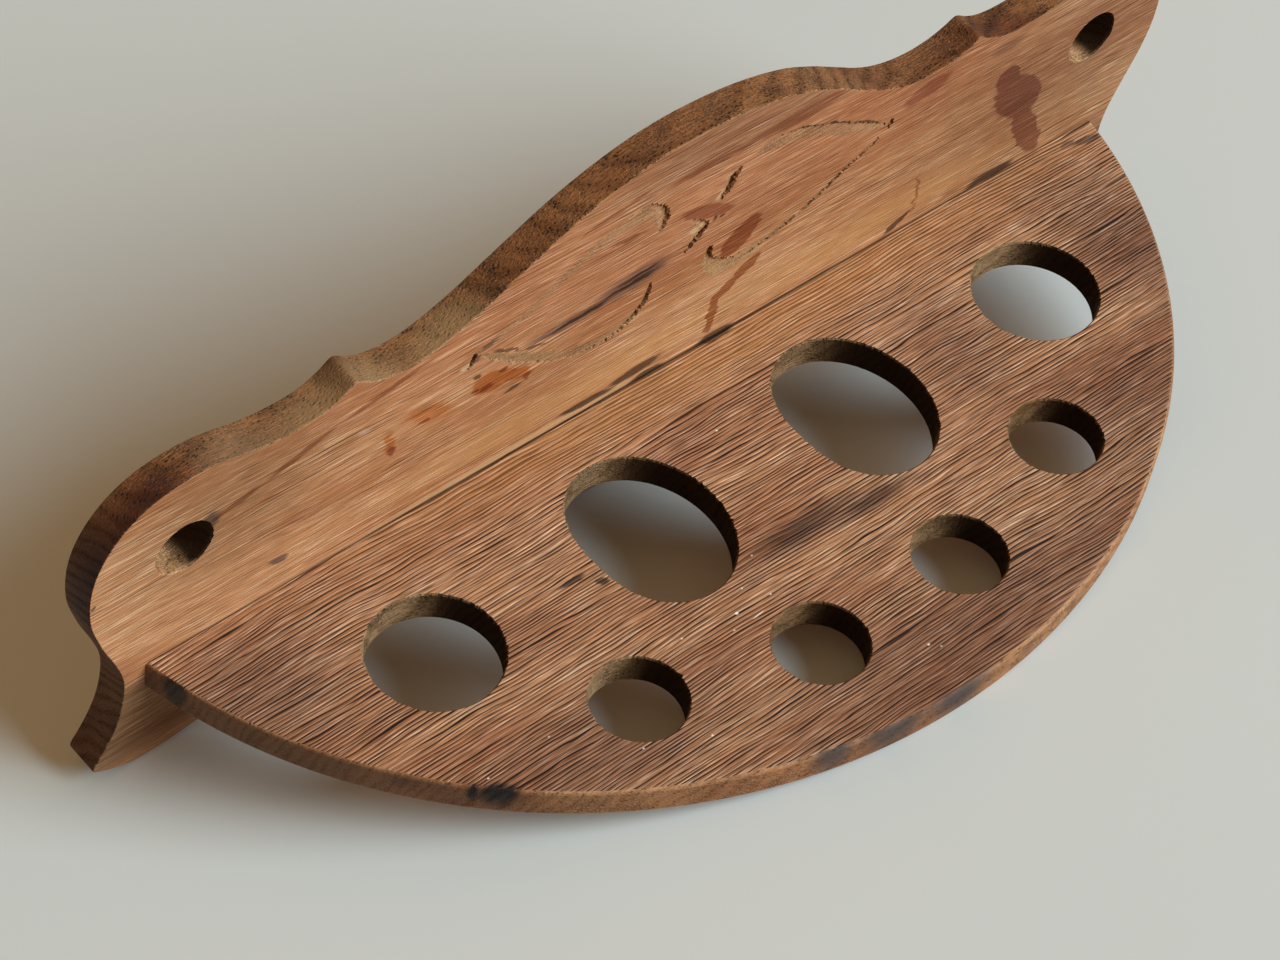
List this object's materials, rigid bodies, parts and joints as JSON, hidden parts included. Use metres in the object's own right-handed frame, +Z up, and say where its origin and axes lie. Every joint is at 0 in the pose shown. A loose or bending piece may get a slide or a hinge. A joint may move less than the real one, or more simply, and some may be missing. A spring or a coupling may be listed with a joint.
{
  "type": "spoon rack",
  "caption": "Wall-hung wooden spoon rack: a scalloped back board with hanging holes and carved hearts carries a D-shaped shelf pierced with round and oval holes for spoon handles.",
  "frame": {"origin": "midway between the centres of the two hanging holes, on the back board's wall face", "axes": "+X along the rack, +Y out of the wall face towards the wall, +Z up; the shelf stands out towards -Y"},
  "size_m": [0.36, 0.133, 0.127],
  "materials": {
    "board_wood": "sawn and planed reddish brown hardwood, oiled, with raised grain lines and old stains",
    "shelf_wood": "open-grained reddish brown hardwood with dark pore lines, oiled and worn",
    "screw_steel": "dull zinc-plated steel"
  },
  "bodies": {
    "root": {"back_board": "board_wood", "shelf": "shelf_wood", "shelf_screws": "screw_steel"}
  },
  "joints": []
}
